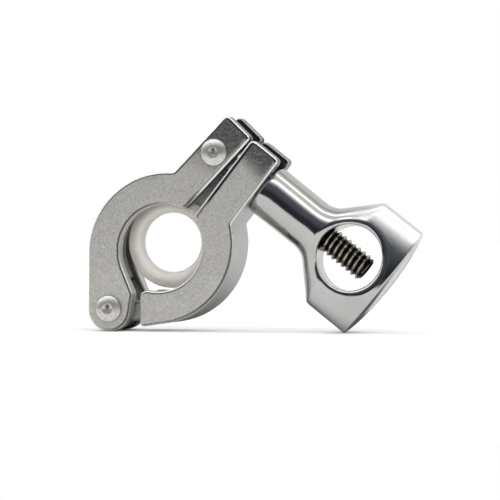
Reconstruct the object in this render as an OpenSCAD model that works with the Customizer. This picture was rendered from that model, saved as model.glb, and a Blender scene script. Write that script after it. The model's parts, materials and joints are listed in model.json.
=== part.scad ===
// Single-pin sanitary clamp for small hygienic pipe ferrules, closed on a loose gasket.
// Two cast half rings turn on a rivet, and a swing bolt with a windowed wing nut draws their ears together.
// It stands as it lies on a bench: on the round hinge eye and on one corner of the wing nut.

/* [Half rings] */
// Width of both half rings along the pipe axis
clamp_w = 16.5; // [14:0.1:20]
// Radius of the lips round the bore
bore_r = 12; // [10:0.1:13]
// Radius of the outer rim
rim_r = 21; // [19.5:0.1:24]
// Distance that each rim's centre lies beyond the parting line
rim_offset = 0.9; // [0:0.1:1.5]
// Radius of the ferrule groove at its bottom
groove_r = 14.2; // [14:0.1:16]
// Thickness of each lip at the bore
lip_w = 3.9; // [2.5:0.1:4.5]
// Slope of the groove's flanks
flank_angle = 20; // [10:1:25]

/* [Hinge] */
// Distance from the hinge axis to the ring's centre
hinge_reach = 21.3; // [20:0.1:24]
// Radius of the hinge eyes on the left half
eye_r = 5.7; // [5:0.1:7]
// Radius of the nose where the left half's cheeks turn from the bore to the hinge
nose_r = 2; // [1:0.1:3]
// Distance from the hinge axis to the nose's centre
nose_reach = 5.85; // [4:0.05:6.2]
// Width of the fork between the left half's cheeks
fork_w = 7.4; // [6:0.1:9]
// Distance of the fork's round bottom beyond the nose
fork_gap = 0.45; // [0.2:0.05:1]
// Height of the right half's tongue between the cheeks
tongue_h = 5.4; // [4:0.1:7]
// Distance that the tongue's middle lies below the hinge axis
tongue_sink = 0.5; // [0:0.1:1]
// Radius of the tongue's eye
tongue_eye_r = 5.2; // [4:0.1:5.5]
// Distance from the hinge axis to the end face of the right half's ring
end_reach = 8.45; // [8.3:0.05:10]
// Gap between the tongue and each cheek
tongue_gap = 0.2; // [0.1:0.05:0.4]

/* [Ears] */
// Gap between the ears when the parting faces are parallel
ear_gap = 6.9; // [6:0.1:9]
// Width of each ear across the parting line
ear_w = 8.65; // [7.5:0.05:10]
// Distance from the hinge axis to the ears' tips
ear_reach = 58.4; // [57:0.1:62]
// Radius of the ears' tip corners
tip_r = 1.1; // [0.5:0.1:2]
// Width of the slot that the bolt swings in
slot_w = 8; // [7.6:0.1:9]
// Distance from the ears' tips to the bolt rivet, along the parting line
pivot_inset = 9.4; // [9:0.1:11]
// Gap between the bottom of the slot and the bolt's eye
slot_gap = 0.7; // [0.4:0.1:1.5]
// Radius where the left ear's inner face runs into the bore
left_ear_fillet = 1.5; // [0.5:0.1:2.5]
// Radius where the right ear's inner face runs into the bore
right_ear_fillet = 0.4; // [0.2:0.1:2.5]
// Radius of the corner between the right half's end face and the bore
end_fillet = 1.8; // [0.5:0.1:2.5]
// Radius of the corner between the right half's end face and its rim
end_corner_r = 0.8; // [0.3:0.1:1.5]

/* [Rest position] */
// Slope of the left half's parting line above the ground
stand_turn = 46; // [40:0.5:50]
// Angle that the right half is closed past parallel
close_turn = 5.8; // [3:0.1:6]
// Angle of the bolt below the horizontal
bolt_drop = 38.2; // [36:0.1:40]
// Turn of the wing nut about the bolt, with its upper wing away from the viewer
nut_turn = 5; // [0:1:20]

/* [Rivets] */
// Diameter of both rivets' shanks
rivet_d = 4.6; // [3.5:0.1:5.4]
// Diameter of both rivets' heads
rivet_head_d = 7; // [6:0.1:8]
// Height of the rivet heads above the faces
rivet_head_h = 1.7; // [1:0.1:2.5]
// Height of the round wall below each head's dome
rivet_wall_h = 0.7; // [0.3:0.1:0.9]
// Depth of the dimple in each head
dimple_depth = 0.35; // [0.1:0.05:0.5]
// Radius of the ball shape of the dimple
dimple_ball_r = 6; // [2:0.5:8]
// Radial clearance of a rivet in the piece that turns on it
turn_gap = 0.08; // [0.03:0.01:0.1]
// Radial clearance of a rivet in the piece that it is clenched in
seat_gap = 0.01; // [0.01:0.01:0.03]

/* [Swing bolt] */
// Diameter of the bolt over its thread
bolt_d = 7.2; // [6.6:0.1:7.4]
// Length of the bolt from the rivet's axis to its end
bolt_len = 48.8; // [46:0.1:51]
// Diameter of the bolt's eye
bolt_eye_d = 8.6; // [8:0.1:9.6]
// Width of the bolt's eye along the rivet
bolt_eye_w = 7.2; // [6.5:0.1:7.4]
// Chamfer at the bolt's end
bolt_chamfer = 0.8; // [0.4:0.1:1.4]
// Diameter of the plain neck between the eye and the thread
neck_d = 6.4; // [5.5:0.1:6.6]
// Distance from the rivet's axis to the start of the thread
thread_start = 12; // [10:0.5:14]

/* [Wing nut] */
// Gap between the nut's face and the right ear
nut_gap = 0.3; // [0.2:0.05:0.6]
// Diameter of the nut's barrel
barrel_d = 14; // [12:0.1:16]
// Narrowing of the barrel's radius towards the wings
barrel_taper = 0.1; // [0:0.1:1]
// Length of the barrel up to the start of the flare
barrel_len = 14.6; // [12:0.1:17]
// Radius of the hollow flare between the barrel and the wings
flare_r = 6.5; // [4:0.1:8]
// Slope of the wings' shoulders
shoulder_angle = 45; // [35:1:55]
// Width over both wings
wing_span = 32.9; // [30:0.1:38]
// Distance from the nut's face to the wings' shoulders corner
shoulder_reach = 26.6; // [26:0.1:30]
// Thickness of the wall between the window and the wings' outer corners, along the bolt
end_wall = 2; // [1.6:0.1:3]
// Thickness of the wings' middle at the nut's end
wing_t = 12.4; // [10:0.1:14]
// Bulge of the nut's end face between the outer corners
end_bulge = 1.2; // [0:0.1:2]
// Radius of the round window
window_r = 8.5; // [8:0.1:9.3]
// Distance from the nut's face to the window's centre
window_reach = 28.8; // [28:0.1:29.2]
// Distance that the wings' shoulders are hollowed below a straight line
shoulder_dip = 0.15; // [0:0.05:0.5]
// Sharpness of the lens section through the wings, where 1 is an ellipse
lens_power = 1.45; // [1.2:0.05:2]
// Radial clearance of the bolt in the nut
thread_gap = 0.08; // [0.03:0.01:0.1]
// Chamfer at the mouth of the nut's thread
mouth_chamfer = 0.9; // [0.4:0.1:1.5]
// Rounding of the nut's outer edges
nut_edge_r = 0.6; // [0.3:0.1:1]

/* [Gasket] */
// Outside diameter of the gasket
gasket_d = 23.8; // [22:0.1:24]
// Diameter of the gasket's hole
gasket_hole_d = 15.5; // [14:0.1:17]
// Thickness of the gasket at its moulded bead
bead_w = 4.4; // [3:0.1:6]
// Thickness of the gasket's outer rim
gasket_rim_w = 2.6; // [1.6:0.1:4]
// Width of the flat band at the wall of the hole
gasket_land_w = 1.6; // [1:0.1:2.5]
// Distance of the loose gasket from the groove's bottom
gasket_gap = 0.2; // [0.1:0.05:0.3]
// Direction in which the loose gasket leans into the right half's groove
gasket_lean = 20; // [0:1:45]

/* [Hidden] */
$fn = 96;

// Overshoot of cuts past a face
cut = 1;
// A length beyond every outline, for regions that are only cut away
far = 100;
// Depth by which sides that would only touch a disc run into it
bite = 0.02;

// Outline of a half, in a frame with the hinge at the origin and the parting line along X
ring_centre = [hinge_reach, 0];
rim_centre = [hinge_reach, -rim_offset];
hinge_centre = [0, 0];
nose_centre = [nose_reach, -nose_r / 4];
ear_in = ear_gap / 2;
ear_out = ear_in + ear_w;
ear_start = hinge_reach + bore_r / 2;
pivot = [ear_reach - pivot_inset, ear_in + ear_w / 2];
slot_start = pivot.x - bolt_eye_d / 2 - slot_gap;
fork_r = nose_reach + nose_r + fork_gap;
tongue_w = fork_w - 2 * tongue_gap;
right_turn = stand_turn + close_turn;

// The bolt and the nut, measured along the bolt from the rivet
pivot_place = turned(pivot, stand_turn);
pivot_from_ear = turned(pivot_place, -right_turn);
nut_start = (pivot_from_ear.y + ear_out) / cos(bolt_drop - 90 + right_turn) + nut_gap;
bolt_r = bolt_d / 2;
barrel_r = barrel_d / 2;
wing_r = wing_span / 2;
nut_len = window_reach + window_r + end_wall;

// Shares of the gasket's wall at which its bead starts, its bead ends and its rim starts
bead_shares = [0.28, 0.5, 0.65];

// The loose gasket in the right half's groove
ring_place = turned(ring_centre, right_turn);
gasket_shift = groove_r - gasket_d / 2 - gasket_gap;
gasket_place = ring_place + gasket_shift * [cos(gasket_lean), sin(gasket_lean)];

// Place of the origin, midway along the clamp and on the ground
left_end = turned(rim_centre, stand_turn).x - rim_r;
wing_corner = [nut_start + nut_len, (wing_r - nut_edge_r / 2) * cos(nut_turn)];
right_end = pivot_place.x + turned(wing_corner, -bolt_drop).x;
middle = (min(left_end, -eye_r) + right_end) / 2;

// A point turned about the origin
function turned(p, angle) = [p.x * cos(angle) - p.y * sin(angle), p.x * sin(angle) + p.y * cos(angle)];

// Direction of a point seen from another
function heading(from, to) = atan2(to.y - from.y, to.x - from.x);

// A point at a distance and direction from another
function polar(from, r, angle) = from + r * [cos(angle), sin(angle)];

// Stands flat outlines up, with their front towards -Y, on the ground
module stand() {
    translate([-middle, 0, eye_r])
        rotate([90, 0, 0])
            children();
}

// A flat shape given the full width of the clamp
module slab() {
    linear_extrude(clamp_w, center = true)
        children();
}

// A disc with the full width of the clamp
module disc(centre, r) {
    translate(centre)
        cylinder(r = r, h = clamp_w, center = true);
}

// The block between two discs, bounded by their two outer tangents
module belt(c1, r1, c2, r2) {
    course = heading(c1, c2);
    lean = acos((r1 - r2) / norm(c2 - c1));
    slab()
        polygon([
            polar(c1, r1 - bite, course + lean),
            polar(c2, r2 - bite, course + lean),
            polar(c2, r2 - bite, course - lean),
            polar(c1, r1 - bite, course - lean)
        ]);
}

// The sliver to cut away between a corner and the fillet that touches both of its sides
module corner_sliver(corner, touch1, centre, touch2, r) {
    difference() {
        slab()
            polygon([corner, touch1, centre, touch2]);
        disc(centre, r + bite);
    }
}

// The sliver at the corner between an ear's inner face and the bore
module ear_corner(r) {
    centre = ring_centre + [sqrt(pow(bore_r + r, 2) - pow(ear_in + r, 2)), ear_in + r];
    corner = ring_centre + [sqrt(pow(bore_r, 2) - pow(ear_in, 2)) - bite, ear_in - bite];
    touch = polar(ring_centre, bore_r - bite, heading(ring_centre, centre));
    corner_sliver(corner, [centre.x, ear_in - bite], centre, touch, r);
}

// One ear, with its tip corners rounded
module ear() {
    difference() {
        slab()
            translate([ear_start, ear_in])
                square([ear_reach - ear_start, ear_w]);
        for (side = [1, -1]) {
            y = side > 0 ? ear_in : ear_out;
            tip = ear_reach + bite;
            outside = y - side * bite;
            centre = [ear_reach - tip_r, y + side * tip_r];
            corner_sliver([tip, outside], [tip, centre.y], centre, [centre.x, outside], tip_r);
        }
    }
}

// The disc of the rim with the belt that leads to the hinge eye
module rim() {
    disc(rim_centre, rim_r);
    belt(rim_centre, rim_r, hinge_centre, eye_r);
}

// The left half without its cuts: ring, ear and hinge cheek with its nose
module left_block() {
    span = norm(nose_centre - ring_centre);
    touch = heading(ring_centre, nose_centre) - acos((bore_r + nose_r) / span);
    difference() {
        union() {
            difference() {
                rim();
                slab()
                    polygon([
                        hinge_centre,
                        nose_centre,
                        polar(nose_centre, bite - nose_r, touch),
                        polar(ring_centre, bore_r - bite, touch),
                        ring_centre,
                        [hinge_reach, ear_in],
                        [far, ear_in],
                        [far, -far],
                        [-far, -far],
                        [-far, 0]
                    ]);
            }
            ear();
            disc(hinge_centre, eye_r);
            disc(nose_centre, nose_r);
            belt(hinge_centre, eye_r, nose_centre, nose_r);
        }
        disc(ring_centre, bore_r);
        ear_corner(left_ear_fillet);
    }
}

// The right half without its cuts, in the mirrored frame: ring and ear, with its end square to the tongue
module right_block() {
    fillet_to_ring = bore_r + end_fillet;
    ring_seen = turned(ring_centre, -right_turn);
    fillet_x = end_reach + end_fillet;
    fillet_seen = [fillet_x, ring_seen.y + sqrt(pow(fillet_to_ring, 2) - pow(fillet_x - ring_seen.x, 2))];
    corner_seen = [end_reach, ring_seen.y + sqrt(pow(bore_r, 2) - pow(end_reach - ring_seen.x, 2))];
    fillet_centre = turned(fillet_seen, right_turn);
    rim_side = heading(rim_centre, hinge_centre) - acos((rim_r - eye_r) / norm(rim_centre)) - right_turn;
    face = end_reach - bite;
    corner_x = end_reach + end_corner_r;
    corner_centre = [corner_x, (eye_r - end_corner_r - corner_x * cos(rim_side)) / sin(rim_side)];
    difference() {
        union() {
            difference() {
                rim();
                slab()
                    translate([-far, ear_in - 2 * far])
                        square(2 * far);
            }
            ear();
        }
        disc(ring_centre, bore_r);
        ear_corner(right_ear_fillet);
        slab()
            rotate(right_turn)
                translate([end_reach - far, -far])
                    square([far, 2 * far]);
        corner_sliver(turned(corner_seen - [bite, bite], right_turn),
            turned([face, fillet_seen.y], right_turn),
            fillet_centre,
            polar(ring_centre, bore_r - bite, heading(ring_centre, fillet_centre)),
            end_fillet);
        rotate(right_turn)
            corner_sliver([face, (eye_r + bite - face * cos(rim_side)) / sin(rim_side)],
                polar(corner_centre, end_corner_r + bite, rim_side),
                corner_centre,
                [face, corner_centre.y],
                end_corner_r);
    }
}

// The V-groove that grips the ferrules, turned about the ring's centre
module groove() {
    mouth = clamp_w / 2 - lip_w;
    deep = mouth - (groove_r - bore_r) * tan(flank_angle);
    translate(ring_centre)
        rotate_extrude()
            polygon([
                [0, -mouth],
                [bore_r, -mouth],
                [groove_r, -deep],
                [groove_r, deep],
                [bore_r, mouth],
                [0, mouth]
            ]);
}

// The slot between the two cheeks of an ear
module ear_slot() {
    translate([slot_start, 0, -slot_w / 2])
        cube([ear_reach - slot_start + cut, far, slot_w]);
}

// Left half ring: one casting with a forked ear for the bolt and a forked eye for the hinge
module left_half() {
    color([0.70, 0.69, 0.66])
        stand()
            rotate(stand_turn)
                difference() {
                    left_block();
                    groove();
                    ear_slot();
                    cylinder(r = fork_r, h = fork_w, center = true);
                    cylinder(d = rivet_d + 2 * seat_gap, h = clamp_w + 2 * cut, center = true);
                    translate(pivot)
                        cylinder(d = rivet_d + 2 * seat_gap, h = clamp_w + 2 * cut, center = true);
                }
}

// Right half ring: one casting with an open slotted ear and a tongue that enters the hinge fork
module right_half() {
    color([0.72, 0.71, 0.69])
        stand()
            rotate(right_turn)
                mirror([0, 1, 0])
                    difference() {
                        union() {
                            difference() {
                                right_block();
                                groove();
                                ear_slot();
                            }
                            cylinder(r = tongue_eye_r, h = tongue_w, center = true);
                            rotate(right_turn)
                                translate([0, tongue_sink - tongue_h / 2, -tongue_w / 2])
                                    cube([end_reach + cut, tongue_h, tongue_w]);
                        }
                        cylinder(d = rivet_d + 2 * turn_gap, h = clamp_w, center = true);
                    }
}

// A rivet clenched through the full width, with a domed and dimpled head on each side
module rivet() {
    head_r = rivet_head_d / 2;
    dome_h = rivet_head_h - rivet_wall_h;
    dome_r = (pow(head_r, 2) + pow(dome_h, 2)) / (2 * dome_h);
    cylinder(d = rivet_d, h = clamp_w, center = true);
    for (side = [0, 1])
        mirror([0, 0, side])
            translate([0, 0, clamp_w / 2])
                difference() {
                    intersection() {
                        cylinder(r = head_r, h = rivet_head_h);
                        translate([0, 0, rivet_head_h - dome_r])
                            sphere(dome_r);
                    }
                    translate([0, 0, rivet_head_h - dimple_depth + dimple_ball_r])
                        sphere(dimple_ball_r);
                }
}

// Hinge rivet
module hinge_rivet() {
    color([0.85, 0.85, 0.84])
        stand()
            rivet();
}

// Bolt rivet
module bolt_rivet() {
    color([0.85, 0.85, 0.84])
        stand()
            translate(pivot_place)
                rivet();
}

// Swing bolt: eye, plain neck, threaded length and chamfered end, turned to its rest direction
module swing_bolt() {
    color([0.62, 0.60, 0.57])
        stand()
            translate(pivot_place)
                rotate(-bolt_drop)
                    difference() {
                        union() {
                            cylinder(d = bolt_eye_d, h = bolt_eye_w, center = true);
                            rotate([0, 90, 0])
                                rotate_extrude()
                                    polygon([
                                        [0, 0],
                                        [neck_d / 2, 0],
                                        [neck_d / 2, thread_start - bolt_chamfer],
                                        [bolt_r, thread_start],
                                        [bolt_r, bolt_len - bolt_chamfer],
                                        [bolt_r - bolt_chamfer, bolt_len],
                                        [0, bolt_len]
                                    ]);
                        }
                        cylinder(d = rivet_d + 2 * turn_gap, h = bolt_eye_w + 2 * cut, center = true);
                    }
}

// Wing nut sections: each is [distance from the face, half width, half thickness, lens power, share of the bulge]
waist_r = barrel_r - barrel_taper;
flare_steps = 6;
flare_rise = flare_r * (1 - cos(shoulder_angle));
flare_end = barrel_len + flare_r * sin(shoulder_angle);
shoulder_middle = (waist_r + flare_rise + wing_r) / 2 - shoulder_dip;
rim_sections = [for (a = [0, 30, 60, 90])
    let (r = barrel_r - nut_edge_r * (1 - sin(a)))
    [nut_edge_r * (1 - cos(a)), r, r, 1, 0]];
barrel_sections = [
    [barrel_len / 2, (barrel_r + waist_r) / 2, barrel_r, 1, 0]
];
flare_sections = [for (i = [0:flare_steps])
    let (share = i / flare_steps, a = shoulder_angle * share)
    wing_row(barrel_len + flare_r * sin(a), waist_r + flare_r * (1 - cos(a)), power_at(share / 2), 0)];
wing_sections = [
    wing_row((flare_end + shoulder_reach) / 2, shoulder_middle, power_at(0.8), 0),
    wing_row(shoulder_reach - nut_edge_r, wing_r - nut_edge_r, power_at(0.95), 0),
    wing_row(shoulder_reach + nut_edge_r, wing_r, lens_power, 0),
    wing_row((shoulder_reach + nut_len) / 2, wing_r, lens_power, 0.3),
    wing_row(nut_len - nut_edge_r, wing_r, lens_power, 1),
    [nut_len, wing_r - nut_edge_r / 2, wing_t / 2 - nut_edge_r, lens_power, 1]
];
nut_sections = concat(rim_sections, barrel_sections, flare_sections, wing_sections);
section_points = 48;

// A section past the barrel, where the nut thins towards its end
function wing_row(reach, width, power, bulge) =
    let (thinned = (barrel_r - wing_t / 2) * (reach - barrel_len) / (nut_len - barrel_len))
    [reach, width, barrel_r - thinned, power, bulge];

// Lens power part of the way from the round barrel to the wings
function power_at(share) = 1 + (lens_power - 1) * share * share * (3 - 2 * share);

// Points of one section: an ellipse that narrows to a lens as the power rises
function section(s) = [for (i = [0:section_points - 1])
    let (a = 360 * i / section_points, h = sin(a))
    [
        s[0] + s[4] * end_bulge * h * h,
        s[1] * cos(a),
        s[2] * sign(h) * pow(abs(h), s[3])
    ]];

// Skin of the nut: quads along its length and strips across its flat and bulged ends
module nut_skin() {
    n = section_points;
    count = len(nut_sections);
    last = (count - 1) * n;
    sides = [for (k = [0:count - 2]) for (i = [0:n - 1])
        let (j = (i + 1) % n)
        each [[k * n + i, k * n + j, (k + 1) * n + j], [k * n + i, (k + 1) * n + j, (k + 1) * n + i]]];
    face = [[for (i = [n - 1:-1:0]) i]];
    end_strips = [for (i = [0:n / 2 - 1])
        let (a = last + i, b = last + i + 1, c = last + (n - i - 1) % n, d = last + (n - i) % n)
        each i == 0 ? [[a, b, c]] : i == n / 2 - 1 ? [[a, b, d]] : [[a, b, c], [a, c, d]]];
    polyhedron([for (s = nut_sections) each section(s)], concat(face, sides, end_strips));
}

// Wing nut: one casting, with a long round barrel that flares into lens-shaped wings round a window
module wing_nut() {
    color([0.74, 0.74, 0.75])
        stand()
            translate(pivot_place)
                rotate(-bolt_drop)
                    translate([nut_start, 0, 0])
                        rotate([-nut_turn, 0, 0])
                            difference() {
                                nut_skin();
                                translate([window_reach, 0, 0])
                                    cylinder(r = window_r, h = 2 * barrel_d, center = true);
                                rotate([0, 90, 0])
                                    cylinder(r = bolt_r + thread_gap, h = window_reach);
                                translate([-bite, 0, 0])
                                    rotate([0, 90, 0])
                                        cylinder(r1 = bolt_r + mouth_chamfer, r2 = bolt_r, h = mouth_chamfer);
                            }
}

// Gasket: a moulded ring with a flared hole, a raised bead and a thinner rim, loose in the groove
module gasket() {
    hole_r = gasket_hole_d / 2;
    outer_r = gasket_d / 2;
    steps = [for (share = bead_shares) hole_r + (outer_r - hole_r) * share];
    bead = bead_w / 2;
    rim = gasket_rim_w / 2;
    land = gasket_land_w / 2;
    color([0.86, 0.85, 0.82])
        stand()
            translate(gasket_place)
                rotate_extrude()
                    polygon([
                        [hole_r, -land],
                        [steps[0], -bead],
                        [steps[1], -bead],
                        [steps[2], -rim],
                        [outer_r, -rim],
                        [outer_r, rim],
                        [steps[2], rim],
                        [steps[1], bead],
                        [steps[0], bead],
                        [hole_r, land]
                    ]);
}

left_half();
right_half();
hinge_rivet();
bolt_rivet();
swing_bolt();
wing_nut();
gasket();
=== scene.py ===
import json
from math import cos, pi, radians, sin, sqrt

import bmesh
import bpy
from mathutils import Matrix, Vector


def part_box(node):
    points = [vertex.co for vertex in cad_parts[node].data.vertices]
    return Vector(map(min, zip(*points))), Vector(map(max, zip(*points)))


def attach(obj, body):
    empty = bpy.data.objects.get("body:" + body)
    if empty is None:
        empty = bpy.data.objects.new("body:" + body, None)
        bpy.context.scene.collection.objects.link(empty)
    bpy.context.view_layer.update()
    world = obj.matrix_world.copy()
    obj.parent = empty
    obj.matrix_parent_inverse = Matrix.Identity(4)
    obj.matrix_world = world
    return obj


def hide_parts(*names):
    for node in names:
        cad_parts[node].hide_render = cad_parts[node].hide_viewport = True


# Sanitary clamp
# Two cast half rings hinge on a rivet, a swing bolt with a windowed wing nut draws them together,
# and a loose gasket lies in their groove. All but the gasket is stainless steel.
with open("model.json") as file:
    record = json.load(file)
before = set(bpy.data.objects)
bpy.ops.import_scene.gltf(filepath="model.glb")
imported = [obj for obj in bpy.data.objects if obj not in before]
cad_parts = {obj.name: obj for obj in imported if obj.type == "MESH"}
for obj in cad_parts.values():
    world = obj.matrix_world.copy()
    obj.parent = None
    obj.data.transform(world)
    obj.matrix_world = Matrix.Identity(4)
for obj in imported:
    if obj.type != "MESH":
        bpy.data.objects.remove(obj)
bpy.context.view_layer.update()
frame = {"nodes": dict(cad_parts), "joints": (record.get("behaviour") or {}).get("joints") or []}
scene = bpy.context.scene
scene.view_settings.view_transform = "Standard"

# Camera
# A long lens on a stand, at the height of the clamp's middle and a little to the right of the pipe's axis.
# It looks almost level, so that the table is seen nearly edge on.
CAMERA_PLACE = Vector((0.15528, -0.60775, 0.02841))
CAMERA_YAW = radians(14.5)
CAMERA_DROP = radians(0.66)
CAMERA_FOV = radians(11.81)
CAMERA_NEAR = 0.01
CAMERA_SENSOR = 36


def placed(name, data):
    """An object in the scene, at the origin."""
    thing = bpy.data.objects.new(name, data)
    scene.collection.objects.link(thing)
    return thing


camera_data = bpy.data.cameras.new("camera")
camera_data.sensor_width = CAMERA_SENSOR
camera_data.angle = CAMERA_FOV
camera_data.clip_start = CAMERA_NEAR
camera = placed("camera", camera_data)
camera.location = CAMERA_PLACE
camera.rotation_euler = (pi / 2 - CAMERA_DROP, 0, CAMERA_YAW)
scene.camera = camera

# Studio
# A white room round the table, with two strip lamps overhead and a dark wall behind the camera.
# The polished nut mirrors them as its light and dark bands, and the camera itself sees plain white.
WALL_LEVEL = 0.035
WALL_RISE = 0.10
WALL_TINT = (0.75, 0.82, 1, 1)
ROOM_LEVEL = 0.80
STRIP_LEVEL = 2.4
SEAM_DIP = 0.42
WALL_FOOT = (radians(-100), radians(-90))
WALL_MIDDLE = (radians(8), radians(30))
WALL_TOP = (radians(38), radians(50))
STRIPS = ((radians(52), radians(63)), (radians(85), radians(94)))
STRIP_SOFT = radians(1.2)
SEAM = (radians(108), radians(118))
SEAM_SOFT = radians(3)
WHITE = (1, 1, 1, 1)


class Wire:
    """A socket of a node tree that takes part in sums like a number."""

    def __init__(self, graph, socket):
        self.graph = graph
        self.socket = socket

    def math(self, operation, *others):
        return self.graph.add("ShaderNodeMath", {"operation": operation}, dict(enumerate((self, *others))))

    def __add__(self, other):
        return self.math("ADD", other)

    def __sub__(self, other):
        return self.math("SUBTRACT", other)

    def __rsub__(self, other):
        return self.graph.add("ShaderNodeMath", {"operation": "SUBTRACT"}, {0: other, 1: self})

    def __mul__(self, other):
        return self.math("MULTIPLY", other)

    def __truediv__(self, other):
        return self.math("DIVIDE", other)

    def __rtruediv__(self, other):
        return self.graph.add("ShaderNodeMath", {"operation": "DIVIDE"}, {0: other, 1: self})

    __radd__ = __add__
    __rmul__ = __mul__

    def either(self, other):
        """The larger of two levels."""
        return self.math("MAXIMUM", other)

    def step(self, start, end):
        """Rises smoothly from 0 at start to 1 at end."""
        settings = {"interpolation_type": "SMOOTHSTEP"}
        values = {"Value": self, "From Min": start, "From Max": end}
        return self.graph.add("ShaderNodeMapRange", settings, values)


class Graph:
    """A node tree that nodes are added to with their settings and the values or wires of their sockets."""

    def __init__(self, tree):
        self.tree = tree

    def add(self, kind, settings=None, values=None, out=0):
        node = self.tree.nodes.new(kind)
        for name, value in (settings or {}).items():
            setattr(node, name, value)
        for key, value in (values or {}).items():
            if isinstance(value, Wire):
                self.tree.links.new(value.socket, node.inputs[key])
            else:
                node.inputs[key].default_value = value
        return Wire(self, node.outputs[out]) if node.outputs else node

    def blend(self, share, first, second):
        """A colour between two colours, through the Mix node's colour sockets."""
        return self.add("ShaderNodeMix", {"data_type": "RGBA"}, {0: share, 6: first, 7: second}, out=2)

    def part(self, vector, axis):
        """One of a vector's parts, X, Y or Z."""
        return self.add("ShaderNodeSeparateXYZ", values={"Vector": vector}, out=axis)


world = bpy.data.worlds.new("studio")
scene.world = world
world.use_nodes = True
world.node_tree.nodes.clear()
room = Graph(world.node_tree)
direction = room.add("ShaderNodeTexCoord", out="Generated")
height = room.part(direction, "Z").math("ARCTAN2", 0 - room.part(direction, "Y"))


def band(low, high, soft):
    """1 between two heights, counted from the horizon behind the camera, with soft borders."""
    return height.step(low - soft, low + soft) * (1 - height.step(high - soft, high + soft))


wall = (1 - height.step(*WALL_TOP)) * height.step(*WALL_FOOT)
wall_level = WALL_LEVEL + height.step(*WALL_MIDDLE) * WALL_RISE
room_level = ROOM_LEVEL - band(*SEAM, SEAM_SOFT) * SEAM_DIP
strips = band(*STRIPS[0], STRIP_SOFT) + band(*STRIPS[1], STRIP_SOFT)
level = room_level + wall * (wall_level - room_level) + strips * (STRIP_LEVEL - ROOM_LEVEL)
seen = room.add("ShaderNodeLightPath", out="Is Camera Ray")
strength = seen + (1 - seen) * level
backdrop_colour = room.blend(seen, room.blend(wall, WHITE, WALL_TINT), WHITE)
glow = room.add("ShaderNodeBackground", values={"Color": backdrop_colour, "Strength": strength})
room.add("ShaderNodeOutputWorld", values={"Surface": glow})

# Fill lamp
# A large soft lamp in front of the clamp, to the right and above, which lights the satin faces.
# The polished metal doesn't mirror it.
FILL_SIZE = 0.9
FILL_POWER = 5.0
FILL_PLACE = Vector((0.3, -1.1, 0.35))
FILL_TARGET = Vector((0, 0, 0.02))
fill_data = bpy.data.lights.new("fill", "AREA")
fill_data.size = FILL_SIZE
fill_data.energy = FILL_POWER
fill = placed("fill", fill_data)
fill.location = FILL_PLACE
fill.rotation_euler = (FILL_TARGET - FILL_PLACE).to_track_quat("-Z", "Y").to_euler()
fill.visible_glossy = False
fill.visible_camera = False

# Table
# A wide sheet of matt white paper, which the hinge and the corner of one wing stand on.
# The camera sees it lifted to white, but not round the places the clamp touches: a painted contact shadow,
# where the clamp's shadow stays.
# Steel mirrors it darker under the clamp and close behind it, a painted shadow where the clamp keeps the
# light off.
TABLE_REACH = 2.5
TABLE_FRONT = -0.30
TABLE_WHITE = 0.86
TABLE_DARK = 0.02
TABLE_LIFT = 0.24
TABLE_CLEAR = 0.007
TABLE_STAND = 0.006
TABLE_SHADE = 0.85
SHADE_FRONT = (-0.008, 0.004)
SHADE_BACK = (0.018, 0.040)
table_corners = [
    (-TABLE_REACH, TABLE_FRONT, 0), (TABLE_REACH, TABLE_FRONT, 0),
    (TABLE_REACH, TABLE_REACH, 0), (-TABLE_REACH, TABLE_REACH, 0),
]
table_mesh = bpy.data.meshes.new("table")
table_mesh.from_pydata(table_corners, [], [(0, 1, 2, 3)])
table = placed("table", table_mesh)


def middle(node):
    """The middle of a solid's box."""
    low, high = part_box(node)
    return (Vector(low) + Vector(high)) / 2


def paper(graph):
    """Matt white, with the lift for the camera, left out round the touching places, and a painted shadow for
    mirrored light.
    """
    spot = graph.add("ShaderNodeTexCoord", out="Object")
    spot_x = graph.part(spot, "X")
    spot_y = graph.part(spot, "Y")
    lowest = min(frame["nodes"]["wing_nut"].data.vertices, key=lambda vert: vert.co.z)
    beside = [(spot_x - stand).math("ABSOLUTE") for stand in (middle("hinge_rivet").x, lowest.co.x)]
    beyond = (spot_y.math("ABSOLUTE") - TABLE_STAND).math("MAXIMUM", 0.0)
    nearest = beside[0].math("MINIMUM", beside[1])
    # Round the touching places the lift is left out, which paints a contact shadow.
    clear = (nearest * nearest + beyond * beyond).math("SQRT").step(0.0, TABLE_CLEAR)
    lift = graph.add("ShaderNodeLightPath", out="Is Camera Ray") * TABLE_LIFT * clear
    # A painted shadow: glossy rays see the paper darker under the clamp and close behind it.
    under = spot_y.step(*SHADE_FRONT) * (1 - spot_y.step(*SHADE_BACK))
    mirrored = graph.add("ShaderNodeLightPath", out="Is Glossy Ray") * under
    white = (TABLE_WHITE, TABLE_WHITE, TABLE_WHITE, 1)
    dark = (TABLE_DARK, TABLE_DARK, TABLE_DARK, 1)
    colour = graph.blend(mirrored * TABLE_SHADE, white, dark)
    matt = graph.add("ShaderNodeBsdfDiffuse", values={"Color": colour})
    lifted = graph.add("ShaderNodeEmission", values={"Strength": lift})
    return graph.add("ShaderNodeAddShader", values={0: matt, 1: lifted})


def coated(name, build):
    """A material whose surface is the shader that build(graph) returns."""
    material = bpy.data.materials.new(name)
    material.use_nodes = True
    material.node_tree.nodes.clear()
    graph = Graph(material.node_tree)
    graph.add("ShaderNodeOutputMaterial", values={"Surface": build(graph)})
    return material


table_mesh.materials.append(coated("table_white", paper))
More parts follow.
